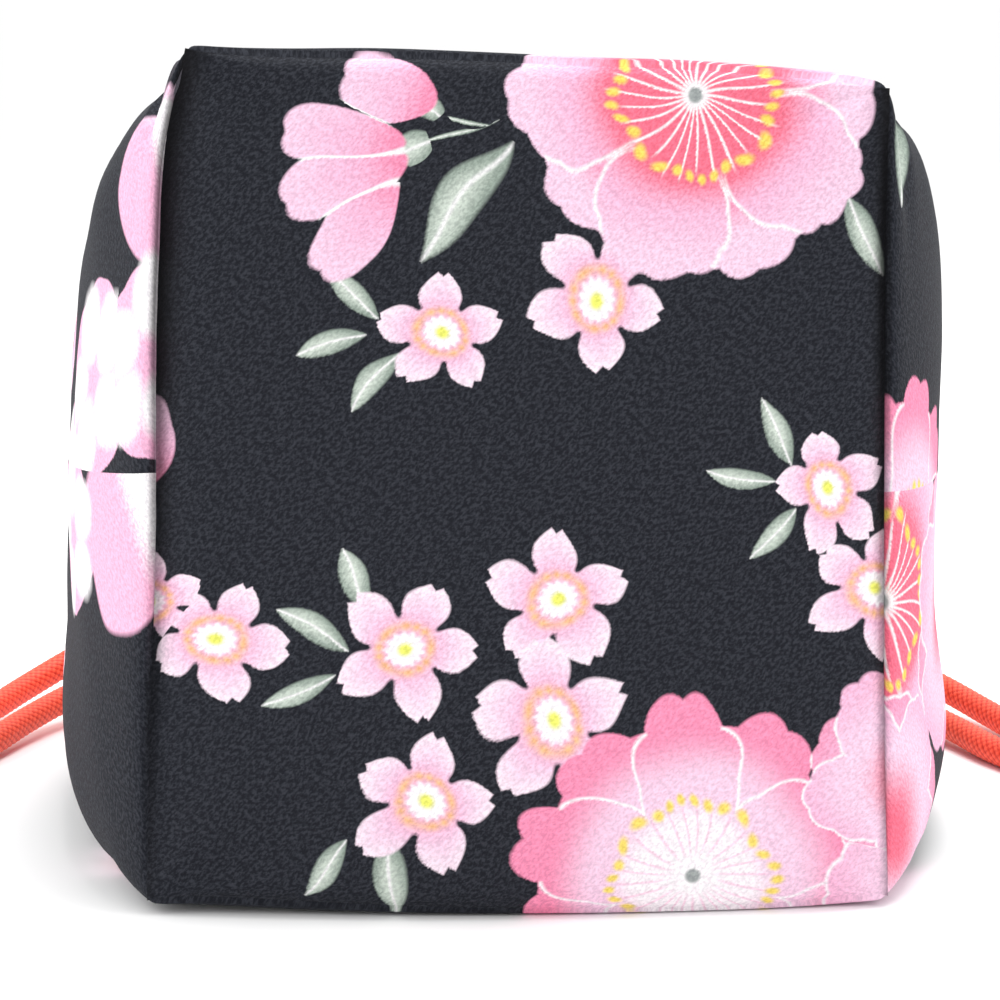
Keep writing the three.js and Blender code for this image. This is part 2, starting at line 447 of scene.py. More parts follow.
# distance along the cloth, place along the pouch, half width, middle height, half height,
# and how boxy the ring is above and below its middle (2 is an oval)
clothRings = [
    (0, -69.5, 46, 54, 54, 60, 60),
    (3, -67.4, 47.9, 53.7, 53.7, 20, 40),
    (10, -61.6, 52.0, 53.1, 53.1, 11, 20),
    (18, -54.6, 55.4, 52.5, 52.5, 8.5, 16),
    (28, -45.2, 58.4, 52.0, 52.0, 6, 13),
    (42, -31.5, 60.8, 51.5, 51.5, 4.3, 11),
    (56, -17.6, 62.3, 50.9, 50.9, 3.6, 9),
    (72, -2, 62.4, 49.6, 49.6, 3.3, 7.5),
    (87, 12, 58.5, 46.8, 46.8, 3.1, 5.5),
    (101, 22.5, 49.5, 42.3, 40.3, 2.8, 3.6),
    (115, 30.5, 38.5, 38.2, 31.8, 2.3, 2.5),
    (128, 36, 28.3, 35, 25.8, 2, 2),
    (138, 40, 22.9, 32.8, 22.4, 2, 2),
    (146, 46, 22.2, 31.8, 21.8, 2, 2),
    (152, 52, 22.2, 31.2, 21.8, 2, 2),
    (159, 57.5, 23.0, 30.7, 22.4, 2, 2),
    (168, 63.5, 26.5, 30.4, 24.5, 2, 2),
    (180, 70.5, 30.5, 30.8, 27.8, 2, 2),
    (194, 78, 34, 31.6, 31, 2, 2),
]

# distance along the cloth, depth of the gathers, depth of the frill's waves, and how far
# the inside is drawn in to the small hole left by the gathers
clothGathers = [
    (0, 0, 0, 0), (54, 0, 0, 0), (72, 0.25, 0, 0), (87, 0.75, 0, 0), (101, 1.5, 0, 0.25),
    (115, 2.3, 0, 0.8), (128, 2.6, 0, 1), (138, 2.3, 0, 1), (146, 1.9, 0, 1), (152, 1.9, 0, 1),
    (159, 2.3, 0.2, 1), (168, 2.2, 1.6, 0.35), (174, 1.7, 2.9, 0), (180, 1.2, 4.0, 0), (194, 0.6, 6.0, 0),
]

# the base's outline in its own plane: across and up from its middle
baseOutline = {
    "top": [(-41.7, 55.4), (-30, 55.2), (-10, 54.9), (6, 54.2), (22, 53.6), (36, 52.5), (43, 51.6),
            (48.2, 50.2)],
    "right": [(48.2, 50.2), (47.9, 30), (47.5, 0), (47.2, -30), (47.3, -53.2)],
    "bottom": [(-47.2, -52.7), (-36, -53.4), (-12, -54.7), (12, -55.2), (36, -54.7), (47.3, -53.2)],
    "left": [(-41.7, 55.4), (-44.6, 43), (-45.6, 28), (-46.2, -14), (-46.8, -30), (-47.2, -52.7)],
}

seam = {
    "topLeft": 4.4,  # depth of the groove at each end of the two corner seams
    "bottomLeft": 1.7,
    "topRight": 3.0,
    "bottomRight": 1.1,
    "shadeReach": 2.8,  # how far the fold's shade reaches on to the base, and on to the gusset
    "gussetShade": 0.4,
    # how dark the shade is: at the seam's bottom, how much more at its top, and where it grows
    "leftShade": (0.42, 0.58, 0.15, 0.75),
    "rightShade": (0.62, 0.3, 0.3, 0.75),
    # how wide it is, in the same way
    "leftShadeWidth": (0.35, 0.65, 0.2, 0.8),
    "rightShadeWidth": (0.26, 0.36),
    "baseReach": 1.9,  # how far the groove reaches on to the base
    "gussetReach": 0.55,
    "roll": 0.9,  # how far the gusset swells forward beside the seam
    "rollAt": 3.6,
    "topFold": 2.8,  # radius of the soft folds along the base's top and bottom
    "bottomFold": 3.6,
    "leftTaper": 2.0,  # how much narrower the pouch is towards its upper left, and all down its right
    "rightTaper": 0.9,
    "lowSwell": 1.4,  # how far both gussets swell near the surface that the pouch lies on
    "bulge": 3.4,
    "bottomForward": 3.2,
    "pucker": 0.22,
    "puckerLength": 7.5,
    "creaseAt": 9.0,  # creases that fan out of each corner: distance, reach, and folds to a turn
    "creaseReach": 11.0,
    "creaseFolds": 7.5,
    # side, level, lift and turn of each corner's creases
    "cornerCreases": [(-1, 1, 0.7, 0.4), (1, 1, 0.9, 1.9), (-1, -1, 0.6, 0.9), (1, -1, 0.8, 2.7)],
}

gather = {
    "folds": 24,
    "waves": 13,
    "ridges": (145.3, 151.6),  # where the two cords lift the casing
    "ridgeLift": 0.9,
    "ridgeWidth": 2.6,
    "stitched": (139.0, 158.5),  # where stitches draw it in
    "stitchDip": 0.7,
    "stitchWidth": 1.1,
    "foldFrom": 54.0,  # where along the cloth folds begin and where they are full
    "foldFull": 128.0,
    "foldStray": 10.92,  # how unevenly they begin
    "slitAngle": 20.0,  # the casing's opening at each side seam
    "slitFrom": 41.6,
    "slitTo": 56.0,
    "slitRadius": 13.3,
    "slitEdge": 2.5,
}


def gatheredShares(count, atEnds, atMiddle=0.0):
    # shares from 0 to 1 that lie closer together at the ends, and at the middle
    t = np.arange(count) / count
    return t - atEnds * np.sin(2 * np.pi * t) / (2 * np.pi) - atMiddle * np.sin(4 * np.pi * t) / (4 * np.pi)


def outlineColumns():
    # the unit square round which every ring is laid out, from its top left to its top right and on
    rows = cloth["sideColumns"]
    across = 2 * gatheredShares(cloth["topColumns"], cloth["topGather"]) - 1
    down = 2 * gatheredShares(rows, cloth["sideGather"], cloth["middleGather"]) - 1
    across, down = np.clip(across, -1, 1), np.clip(down, -1, 1)
    x = np.concatenate([across, np.ones(rows), -across, -np.ones(rows)])
    z = np.concatenate([np.ones(len(across)), -down, -np.ones(len(across)), down])
    return x, z


def alongEdge(name, share):
    points = np.array(baseOutline[name], float)
    run = runAlong(points)
    return smoothTable(np.column_stack([run / run[-1], points]), share)


def baseRing(x, z):
    # where each column meets the base's outline, in the base's own plane
    spots = np.zeros((len(x), 2))
    top, bottom = z >= 1, z <= -1
    right, left = (x >= 1) & ~top, (x <= -1) & ~bottom
    spots[top] = alongEdge("top", (x[top] + 1) / 2)
    spots[right] = alongEdge("right", (1 - z[right]) / 2)
    spots[bottom] = alongEdge("bottom", (x[bottom] + 1) / 2)
    spots[left] = alongEdge("left", (1 - z[left]) / 2)
    return spots


def fromBasePlane(across, up, out):
    # a point of the leaning base, with out measured away from the pouch
    tilt = cloth["lean"]
    y = cloth["baseY"] + up * math.sin(tilt) - out * math.cos(tilt)
    height = cloth["baseHeight"] + up * math.cos(tilt) + out * math.sin(tilt)
    return np.stack(np.broadcast_arrays(across, y, height), axis=-1)


def baseWay(up, out):
    # a direction in the base's own plane, or out of it
    return fromBasePlane(0.0, up, out) - fromBasePlane(0.0, 0.0, 0.0)


def seamDepth(side, level):
    # level runs from -1 at the bottom to 1 at the top
    share = (level + 1) / 2
    left = seam["bottomLeft"] + share * (seam["topLeft"] - seam["bottomLeft"])
    right = seam["bottomRight"] + share * (seam["topRight"] - seam["bottomRight"])
    return np.where(side < 0, left, right) * (1 - np.abs(level) ** 5)


def seamShadow(side, level, gap, reach):
    # how strongly painted shade darkens the fold beside a corner seam, from 0 to 1
    share = (level + 1) / 2

    def growing(least, more, low, high):
        return least + more * smoothStep(low, high, share)

    narrow, more = seam["rightShadeWidth"]
    dark = np.where(side < 0, growing(*seam["leftShade"]), growing(*seam["rightShade"]))
    wide = np.where(side < 0, growing(*seam["leftShadeWidth"]), narrow + more * share)
    return dark * bell(gap, reach * wide)


# height in millimetres of each slow wave, its radians to the millimetre along x, y and z, and its phase
unevenness = [
    (0.17, 0.062, 0.081, -0.071, 1.6708),
    (0.17, 0.062, 0.081, 0.071, -0.2708),
    (0.26, 0.118, 0.05, -0.07, 2.1),
    (0.18, 0.09, 0.11, 0.16, 4.0),
    (0.10, 0.31, -0.2, 0.24, 1.0),
]


def rippled(place):
    # slow unevenness, such as stuffed cloth has
    x, y, z = place[..., 0], place[..., 1], place[..., 2]
    return sum(height * np.sin(a * x + b * y + c * z + phase) for height, a, b, c, phase in unevenness)


def softFold(gap, share, radius):
    # how far a folded edge is rounded off at a distance from the fold: along the face, and off it
    radius = np.maximum(radius * (1 - np.abs(share) ** 10), 1e-6)
    left = np.clip(1 - gap / radius, 0, 1)
    turn = left * math.pi / 4
    return radius * (left - np.sin(turn)), radius * (1 - np.cos(turn))


def seamPucker(level, gap, side):
    # small waves that sewing leaves beside a seam, strongest a little way off it
    uneven = side + 1.3 * np.sin(level * 5)
    wave = np.sin(2 * np.pi * level * cloth["halfDepth"] / seam["puckerLength"] + uneven)
    return seam["pucker"] * wave * np.exp(-gap / 5) * (1 - np.exp(-gap / 1.2)) * (1 - level**6) ** 2


def basePanel(x, z, ring):
    # the base as a grid that shares its outline with the first ring: flat spots, places and painted shade
    columns, rows = cloth["topColumns"], cloth["sideColumns"]
    top, right = ring[: columns + 1], ring[columns : columns + rows + 1]
    bottom = ring[columns + rows : 2 * columns + rows + 1][::-1]
    left = np.vstack([ring[2 * columns + rows :], ring[:1]])[::-1]
    u = ((x[: columns + 1] + 1) / 2)[None, :, None]
    w = ((1 - z[columns : columns + rows + 1]) / 2)[:, None, None]
    ruled = (1 - w) * top[None] + w * bottom[None] + (1 - u) * left[:, None] + u * right[:, None]
    corners = (1 - w) * ((1 - u) * top[0] + u * top[-1]) + w * ((1 - u) * bottom[0] + u * bottom[-1])
    spots = ruled - corners
    across, up = spots[..., 0], spots[..., 1]
    share, level = np.clip(2 * u[..., 0] - 1, -1, 1), np.clip(1 - 2 * w[..., 0], -1, 1)
    out = seam["bulge"] * (1 - share**2) ** 0.85 * (1 - level**2) ** 0.7
    out = out + seam["bottomForward"] * (1 - share**2) * np.clip(0.5 - level / 2, 0, 1) ** 2
    # painted shade in the fold beside each corner seam, which the material darkens the base with
    paintedSeamShade = np.zeros(out.shape)
    for side, gap in ((-1, across - left[:, :1]), (1, right[:, :1] - across)):
        reach, gap = seam["baseReach"] * (1.25 if side < 0 else 0.8), np.maximum(gap, 0)
        paintedSeamShade = np.maximum(paintedSeamShade, seamShadow(side, level, gap, seam["shadeReach"]))
        out = out - seamDepth(side, level) * np.exp(-((gap / reach) ** 1.4)) + seamPucker(level, gap, side)
    for atShare, atLevel, lift, turn in seam["cornerCreases"]:
        inX, inZ = (1 - share * atShare) * cloth["halfWidth"], (1 - level * atLevel) * cloth["halfDepth"]
        fan = np.sin(seam["creaseFolds"] * np.arctan2(inZ, inX + 1e-9) + turn)
        fade = (1 - np.abs(share) ** 20) * (1 - np.abs(level) ** 20)
        out = out + lift * fan * fade * bell(np.hypot(inX, inZ) - seam["creaseAt"], seam["creaseReach"])
    inner = (1 - share**6) * (1 - level**6)
    out = out + inner * rippled(fromBasePlane(across, up, out))
    above, sunkAbove = softFold(top[:, 1] - up, share, seam["topFold"])
    below, sunkBelow = softFold(up - bottom[:, 1], share, seam["bottomFold"])
    return spots, fromBasePlane(across, up - above + below, out - sunkAbove - sunkBelow), paintedSeamShade


def clothFolds(v, turn):
    # how far the gathers, the frill's waves and the casing push the cloth outwards
    depth = smoothTable(clothGathers, v)
    along, turn = v[:, None], turn[None]
    warp = 0.5 * np.sin(3 * turn + 1) + 0.34 * np.sin(7 * turn + 2.2) + 0.25 * np.sin(along / 17 + 2 * turn)
    crest = 2.2 * np.abs(np.cos((gather["folds"] * turn + warp) / 2)) - 1.35
    stray = gather["foldStray"] * np.sin(5 * turn + 0.6) * np.sin(11 * turn + 1.9)
    crest = crest * (0.3 + 0.7 * smoothStep(gather["foldFrom"], gather["foldFull"], along + stray))
    wave = gather["waves"] * turn + 0.7 * np.sin(2 * turn + 0.5) + 0.45 * np.sin(5 * turn + 1.2)
    ruffle = np.cos(wave) * (1 + 0.28 * np.sin(4 * turn + 2))
    ridges = sum(bell(along - row, gather["ridgeWidth"]) for row in gather["ridges"])
    dips = sum(bell(along - row, gather["stitchWidth"]) for row in gather["stitched"])
    folds = depth[:, :1] * crest + depth[:, 1:2] * ruffle
    return folds + gather["ridgeLift"] * ridges - gather["stitchDip"] * dips


def ringPlaces(v, x, z, turn, ring, inside=False):
    # the skin beyond the base: one row for each v, one column for each x and z
    row = smoothTable(clothRings, v)
    y, halfWidth, middle, halfHeight, above, below = (row[:, k][:, None] for k in range(6))
    boxy = above + (below - above) * (1 - smoothStep(-0.35, 0.35, z))[None]
    power = (np.abs(x)[None] ** boxy + np.abs(z)[None] ** boxy) ** (-1 / boxy)
    across, high = x[None] * power * halfWidth, z[None] * power * halfHeight
    radius = np.hypot(across, high)
    push = clothFolds(v, turn)
    if inside:
        grown = cloth["neckHole"] + 0.25 * push
    else:
        angle = np.degrees(np.arctan2(np.abs(high), np.abs(across)))
        edge = gather["slitEdge"]
        slit = 1 - smoothStep(gather["slitAngle"] - edge, gather["slitAngle"] + edge, angle)
        slit = slit * smoothStep(gather["slitFrom"] - 1, gather["slitFrom"] + 1, y)
        slit = slit * (1 - smoothStep(gather["slitTo"] - 1, gather["slitTo"] + 1, y))
        grown = radius + push
        grown = grown + slit * (gather["slitRadius"] - grown)
    height = middle + high * grown / radius
    narrow = np.where(x[None] < 0, seam["leftTaper"] * smoothStep(-6, 30, high), seam["rightTaper"])
    swell = seam["lowSwell"] * bell(high + 39, 12)
    along = v[:, None]
    shaped = (swell - narrow) * x[None] ** 3 * (1 - np.exp(-along / 12)) * (1 - smoothStep(70, 110, along))
    tilt = math.tan(cloth["lean"]) * (1 - smoothStep(0, cloth["leanReach"], along))
    leaning = y + tilt * (height - cloth["baseHeight"])
    place = np.stack([across * grown / radius + shaped, leaning, height], axis=-1)
    plain = fromBasePlane(x * cloth["halfWidth"], z * cloth["halfDepth"], 0)
    shift = fromBasePlane(ring[:, 0], ring[:, 1], 0) - plain
    return place + shift[None] * np.exp(-along / cloth["skewReach"])[..., None]


def seamDetail(v, x, z, place):
    # the groove and the roll beside each corner seam, the soft folds, and unevenness
    along, level, side = v[:, None], z[None], np.sign(x)[None]
    onSide = ((np.abs(x) >= 1) & (np.abs(z) < 1))[None]
    onFold = ((np.abs(z) >= 1) & (np.abs(x) < 1))[None]
    out = np.zeros(place.shape[:2])
    swell = seam["roll"] * (along / seam["rollAt"]) * np.exp(1 - along / seam["rollAt"]) * (1 - level**6)
    groove = seamDepth(side, level) * np.exp(-((along / seam["gussetReach"]) ** 1.5))
    out = np.where(onSide, swell - groove + seamPucker(level, along, side + 2), out)
    forward = seam["bottomForward"] * (1 - x[None] ** 2) * np.exp(-along / 10)
    out = np.where(onFold & (level < 0), forward, out)
    radius = np.where(level > 0, seam["topFold"], seam["bottomFold"])
    back, sunk = (np.where(onFold, fold, 0) for fold in softFold(along, x[None], radius))
    outward, upward = baseWay(0.0, 1.0), baseWay(1.0, 0.0)
    moved = place + (out - back)[..., None] * outward - (sunk * np.sign(level))[..., None] * upward
    moved[..., 0] += np.where(onSide, 0.3 * swell * side, 0)
    uneven = rippled(moved) * (1 - np.exp(-along / cloth["rippleStart"])) * (1 - smoothStep(100, 150, along))
    return moved + gridNormals(moved) * uneven[..., None]


def gridNormals(place):
    down = np.gradient(place, axis=0)
    onward = np.roll(place, -1, axis=1) - np.roll(place, 1, axis=1)
    normal = np.cross(onward, down)
    return normal / np.maximum(np.linalg.norm(normal, axis=2, keepdims=True), 1e-9)


def clothRows():
    # distances along the cloth of its rows, close together at the corner seams, casing and frill
    near = [0, 0.3, 0.6, 0.9, 1.3, 1.8, 2.4, 3.1, 4, 5, 6.2, 7.6, 9.2, 11, 13, 15.2, 17.6, 20.2]
    stretches = ((23, 96, 2.5), (96, 138, 1.5), (138, 160, 0.9), (160, 193.5, 1.15))
    rest = [np.arange(*stretch) for stretch in stretches]
    return np.concatenate([near, *rest, [194]])


def flatPlaces(ring, columns, rows):
    # where each face's two columns lie on the flat cloth: across, along at the base's edge, and
    # which way along runs; the print breaks at the side seams as the sewn cloth does
    closed = np.vstack([ring, ring[:1]])
    run = runAlong(closed)
    half, count = rows // 2, len(ring)
    corner = [0, columns, columns + rows, 2 * columns + rows, count]

    def gusset(k, at, side, end):
        # end is 1 for the gusset's upper half and -1 for its lower half
        far = abs(run[k] - run[at])
        x0, up0 = closed[at]
        ease = smoothStep(0, 25, far)
        return side * (abs(x0) + far), abs(up0) + (cloth["halfDepth"] + 0.5 - abs(up0)) * ease, end

    places = []
    for j in range(count):
        pair = []
        for k in (j, j + 1):
            if j < corner[1]:
                pair.append((closed[k][0], closed[k][1], 1))
            elif j < corner[1] + half:
                pair.append(gusset(k, corner[1], 1, 1))
            elif j < corner[2]:
                pair.append(gusset(k, corner[2], 1, -1))
            elif j < corner[3]:
                pair.append((closed[k][0], -closed[k][1], -1))
            elif j < corner[3] + half:
                pair.append(gusset(k, corner[3], -1, -1))
            else:
                pair.append(gusset(k, corner[4], -1, 1))
        places.append(pair)
    return np.array(places)


def keptAboveFloor(points, low):
    # the surface that the pouch lies on presses the lowest cloth flat
    points = np.array(points)
    points[..., 2] = softFloor(points[..., 2], low, cloth["floorSoftness"])
    return points


def gridRim(grid):
    # a grid's outline, from its first corner and round
    return np.vstack([grid[0, :-1], grid[:-1, -1], grid[-1, :0:-1], grid[:0:-1, 0]])


def innerSkin(v, x, z, turn, ring, outer, base):
    # the cloth's inner face, which the gathers draw in to a small hole: its rows, its places and
    # the inner face of the base
    rows = [*range(0, len(v) - 1, 2), len(v) - 1]
    inV = v[rows]
    thick = cloth["thickness"] + (cloth["hemThickness"] - cloth["thickness"]) * smoothStep(184, 186, inV)
    inner = outer[rows] - gridNormals(outer)[rows] * thick[:, None, None]
    drawn = smoothTable(clothGathers, inV)[:, 2][:, None, None]
    inner = inner + drawn * (ringPlaces(inV, x, z, turn, ring, inside=True) - inner)
    insideBase = base + baseWay(0.0, -1.0) * (cloth["thickness"] + cloth["seamGap"])
    middle = np.array([0.0, 0.0, cloth["baseHeight"]])
    keep = np.array([1 - cloth["shrink"], 1.0, 1 - cloth["shrink"]])
    insideBase = middle + (insideBase - middle) * keep
    inner[0] = gridRim(insideBase)
    return inV, inner, insideBase


def ringFaces(ringV, places):
    # the faces between neighbouring rings, and where their corners lie on the flat cloth
    faces, flats, count = [], [], len(places)
    for r, (here, there) in enumerate(zip(ringV, ringV[1:])):
        for j, ((xa, ua, way), (xb, ub, _)) in enumerate(places):
            k = (j + 1) % count
            faces.append((r * count + j, r * count + k, (r + 1) * count + k, (r + 1) * count + j))
            flats.append(((xa, way * (ua + here)), (xb, way * (ub + here)),
                          (xb, way * (ub + there)), (xa, way * (ua + there))))
    return faces, flats


def panelNumbers(rows, columns, rim, body):
    # the numbers of a grid's points: its outline is a ring that starts at rim, the others start at body
    numbers = np.zeros((rows + 1, columns + 1), int)
    numbers[0] = rim + np.arange(columns + 1)
    numbers[:, -1] = rim + np.arange(columns, columns + rows + 1)
    numbers[-1] = rim + np.arange(2 * columns + rows, columns + rows - 1, -1)
    numbers[1:, 0] = rim + np.arange(2 * (columns + rows) - 1, 2 * columns + rows - 1, -1)
    numbers[1:-1, 1:-1] = body + np.arange((rows - 1) * (columns - 1)).reshape(rows - 1, columns - 1)
    return numbers


def panelFaces(numbers, spots, outside):
    faces, flats = [], []
    for r in range(numbers.shape[0] - 1):
        for c in range(numbers.shape[1] - 1):
            loop = [(r, c), (r, c + 1), (r + 1, c + 1), (r + 1, c)]
            loop = loop[:1] + loop[:0:-1] if outside else loop
            faces.append(tuple(int(numbers[spot]) for spot in loop))
            flats.append(tuple(tuple(spots[spot]) for spot in loop))
    return faces, flats


def clothPiece(name, material):
    columns, rows = cloth["topColumns"], cloth["sideColumns"]
    x, z = outlineColumns()
    count = len(x)
    ring = baseRing(x, z)
    run = runAlong(np.vstack([ring, ring[:1]]))
    turn = 2 * np.pi * run[:-1] / run[-1]
    v = clothRows()
    spots, base, basePaintedShade = basePanel(x, z, ring)
    outer = seamDetail(v, x, z, ringPlaces(v, x, z, turn, ring))
    edge = gridRim(base)
    print("first ring and base differ by at most", round(float(np.abs(outer[0] - edge).max()), 3), "mm")
    outer[0] = edge
    inV, inner, insideBase = innerSkin(v, x, z, turn, ring, outer, base)
    lip = (outer[-1] + inner[-1]) / 2 + (outer[-1] - outer[-2]) * cloth["lip"]
    rings = np.concatenate([outer, lip[None], inner[::-1]])
    faces, flats = ringFaces(np.concatenate([v, v[-1:], inV[::-1]]), flatPlaces(ring, columns, rows))
    # what each point carries: 0 outside and 1 inside, and the painted shade beside the seams
    shade = seamShadow(np.sign(x)[None], z[None], v[:, None], seam["gussetShade"])
    shade = np.where((np.abs(x) >= 1)[None], shade, 0)
    points = [rings.reshape(-1, 3)]
    insides = [np.zeros(len(v) * count), np.full(count, 0.5), np.ones(len(inV) * count)]
    paintedSeamShades = [shade.ravel(), np.zeros(count * (len(inV) + 1))]
    body = len(points[0])
    for grid, rim, outside in ((base, 0, True), (insideBase, body - count, False)):
        more = panelFaces(panelNumbers(rows, columns, rim, body), spots, outside)
        faces, flats = faces + more[0], flats + more[1]
        points.append(grid[1:-1, 1:-1].reshape(-1, 3))
        insides.append(np.full(len(points[-1]), 0.0 if outside else 1.0))
        paintedSeamShades.append(basePaintedShade[1:-1, 1:-1].ravel() if outside else np.zeros(len(points[-1])))
        body += len(points[-1])
    points = keptAboveFloor(np.vstack(points), cloth["floorGap"])
    piece = meshObject(name, points * mm, faces, material)
    layer = piece.data.uv_layers.new(name="cloth")
    layer.uv.foreach_set("vector", np.array(flats, np.float32).ravel())
    for label, values in (("inside", insides), ("paintedSeamShade", paintedSeamShades)):
        flag = piece.data.attributes.new(label, "FLOAT", "POINT")
        flag.data.foreach_set("value", np.concatenate(values).astype(np.float32))
    return piece, keptAboveFloor(outer, cloth["floorGap"] + stitches["thick"] / mm)


# an overhand knot tied with both ends of a cord: the pair's middle line, from the knot's middle,
# which goes under, over, under, over, under and over itself
knotLine = [
    (0, -9.5, -1.0), (1.2, -6.4, -2.7), (4.0, -2.6, -0.6), (4.9, 0.8, 2.4), (3.4, 4.2, 0.8),
    (-0.4, 5.4, -2.4), (-4.3, 3.6, -0.8), (-5.7, -0.8, 0.2), (-3.6, -5.2, 1.6), (1.2, -6.6, 2.9),
    (5.6, -4.9, 1.0), (7.2, -1.6, -1.6), (4.8, 0.9, -2.9), (1.2, 1.6, -1.0), (-0.2, 5.0, 2.4),
    (0, 7.6, 0.6),
]

knots = {
    "left": {
        "middle": (-135, 38.5, 5.9),
        "starts": [(-132, 29.5, 5), (-138, 29, 5)],
        "tails": [
            [(-129.8, 51, 2.6), (-128.5, 59, 2.1), (-131, 67, 2.1)],
            [(-140, 51, 2.6), (-142.5, 58, 2.1), (-143, 66, 2.1)],
        ],
    },
    "right": {
        "middle": (132, 36, 5.9),
        "starts": [(135, 26.5, 5), (129, 27, 5)],
        "tails": [
            [(137.2, 48.5, 2.6), (140.5, 55, 2.1), (141, 63, 2.1)],
            [(126.8, 48.5, 2.6), (126, 56.5, 2.1), (129, 64.5, 2.1)],
        ],
    },
    "apart": 1.75,  # half the distance between the two strands in the knot
    "radius": 0.00188,
    "lowest": 2.15,  # height of the strands where the knots lie on the surface
    "softness": 0.2,
    "turnOver": 12,  # how softly the pair turns over at tight bends
    "drawn": 0.4,  # step along the middle line
    "trimmed": 6,  # steps that are left off at its ends, and how many lie between two spots of a strand
    "every": 7,
}


def knotStrands(values):
    middle = np.array(values["middle"], float)
    line = smoothPath(inMetres(knotLine), knots["drawn"] * mm) / mm
    tangent = np.gradient(line, axis=0)
    across = np.column_stack([tangent[:, 1], -tangent[:, 0], np.zeros(len(line))])
    across /= np.maximum(np.linalg.norm(across, axis=1, keepdims=True), 1e-9)
    for _ in range(knots["turnOver"]):
        across[1:-1] = (across[:-2] + across[1:-1] * 2 + across[2:]) / 4
    made, trimmed = [], knots["trimmed"]
    for side, start, tail in zip((1, -1), values["starts"], values["tails"]):
        strand = (line + across * side * knots["apart"])[trimmed : -trimmed : knots["every"]] + middle
        strand = smoothPath(inMetres([start, *strand, *tail]), cord["step"])
        strand[:, 2] = softFloor(strand[:, 2], knots["lowest"] * mm, knots["softness"] * mm)
        made.append(strand)
    return made


stitches = {
    "rows": (*gather["stitched"], 187.0),  # distance along the cloth of each sewn row
    "spacing": 0.0029,
    "long": 0.00105,  # half a stitch
    "thick": 0.0002,
    "proud": 0.1,  # how far a row's middle stands off the cloth, in millimetres
    "step": 0.0008,
    "shade": (0.02, 0.021, 0.027, 1),
}


def stitchTree():
    tree, g, given = startTree("stitchRow", [
        ("Spacing", "NodeSocketFloat", stitches["spacing"]),
        ("Half Length", "NodeSocketFloat", stitches["long"]),
        ("Half Thickness", "NodeSocketFloat", stitches["thick"]),
    ])
    spots = g.node("GeometryNodeCurveToPoints", {"mode": "LENGTH"}, Curve=given["Geometry"],
                   Length=given["Spacing"])
    ball = g.node("GeometryNodeMeshUVSphere", Segments=8, Rings=7, Radius=1.0)
    size = g.node("ShaderNodeCombineXYZ", X=given["Half Thickness"], Y=given["Half Thickness"],
                  Z=given["Half Length"])
    sewn = g.node("GeometryNodeInstanceOnPoints", Points=spots.outputs["Points"],
                  Instance=ball.outputs["Mesh"], Rotation=spots.outputs["Rotation"], Scale=size.outputs[0])
    endTree(g, given, sewn.outputs["Instances"])
    return tree


def sewnRows(name, skin, material):
    # rows of stitches that follow the gathered cloth, just proud of its skin
    v = clothRows()
    normals = gridNormals(skin)
    lines = []
    for row in stitches["rows"]:
        k = int(np.argmin(np.abs(v - row)))
        ring = (skin[k] + normals[k] * stitches["proud"]) * mm
        lines.append(smoothPath([tuple(p) for p in ring] + [tuple(ring[0])], stitches["step"]))
    return applyTree(name, curveObject(name + "Lines", lines), stitchTree(), {"Material": material})


def colour(red, green, blue):
    # screen colour to the linear values that shaders take
    shares = (red / 255, green / 255, blue / 255)
    return (*(((share + 0.055) / 1.055) ** 2.4 for share in shares), 1)


def shaderFor(name, settings):
    # a material, its graph and its main shader, whose constants are set on the shader itself
    material = bpy.data.materials.new(name)
    material.use_nodes = True
    shader = material.node_tree.nodes["Principled BSDF"]
    for key, value in settings.items():
        shader.inputs[key].default_value = value
    return material, Graph(material.node_tree), shader


def plainMaterial(name, shade, roughness, gloss):
    return shaderFor(name, {"Base Color": shade, "Roughness": roughness, "Specular IOR Level": gloss})[0]


# the print: flowers in five petals, buds and leaves, in millimetres on the flat cloth;
# the whole pattern repeats along the cloth
printed = {
    "repeat": 254.0,
    "edge": 0.34,  # softness of a printed edge
    "cloth": colour(30, 32, 39),
    "whitePink": colour(253, 236, 245),
    "palePink": colour(248, 208, 230),
    "pink": colour(247, 186, 215),
    "deepPink": colour(249, 146, 180),
    "rose": colour(250, 116, 140),
    "white": colour(255, 251, 252),
    "yellow": colour(250, 222, 96),
    "lemon": colour(238, 240, 110),
    "orange": colour(250, 190, 130),
    "leaf": colour(146, 160, 148),
    "leafPale": colour(206, 216, 204),
    "grey": colour(158, 164, 162),
}

# middle across and along, radius, turn in degrees
smallFlowers = [
    (10.0, 23.6, 9.9, 58), (-9.6, 18.8, 8.3, 90), (40.2, -1.4, 7.9, 106), (4.7, -14.7, 9.4, 88),
    (-14.2, -21.0, 9.6, 66), (-37.9, -19.6, 8.8, 64), (-46.4, -15.0, 7.2, 28), (-12.3, -40.6, 10.0, 76),
    (-2.0, 72.0, 8.6, 20), (-38.0, 78.0, 8.4, 50), (12.0, 109.0, 9.0, 80), (-36.0, 119.0, 9.2, 10),
    (66.0, 114.0, 9.0, 35), (-40.0, -76.0, 9.0, 20), (6.0, -122.0, 8.6, 44), (34.0, -86.0, 8.4, 5),
    (-64.0, -113.0, 9.2, 60), (88.0, 118.0, 8.0, 5),
]

# small ones that lie over others
upperFlowers = [(4.2, -30.0, 10.8, 96), (45.6, -13.9, 9.0, 140)]

# the same, then 0 for a glowing middle or 1 for a white one
largeFlowers = [
    (23.3, 49.2, 24.4, 181, 0), (22.1, -50.4, 23.8, 94, 1), (85.5, -53.4, 25.5, 20, 0),
    (110.8, 62.0, 26.0, 176, 1), (-20.0, 94.0, 21.0, 40, 0), (41.0, 97.0, 20.0, 70, 1),
    (-14.0, -98.0, 21.0, 15, 1), (62.0, -113.0, 18.0, 50, 0), (-76.0, 115.0, 19.0, 100, 0),
]

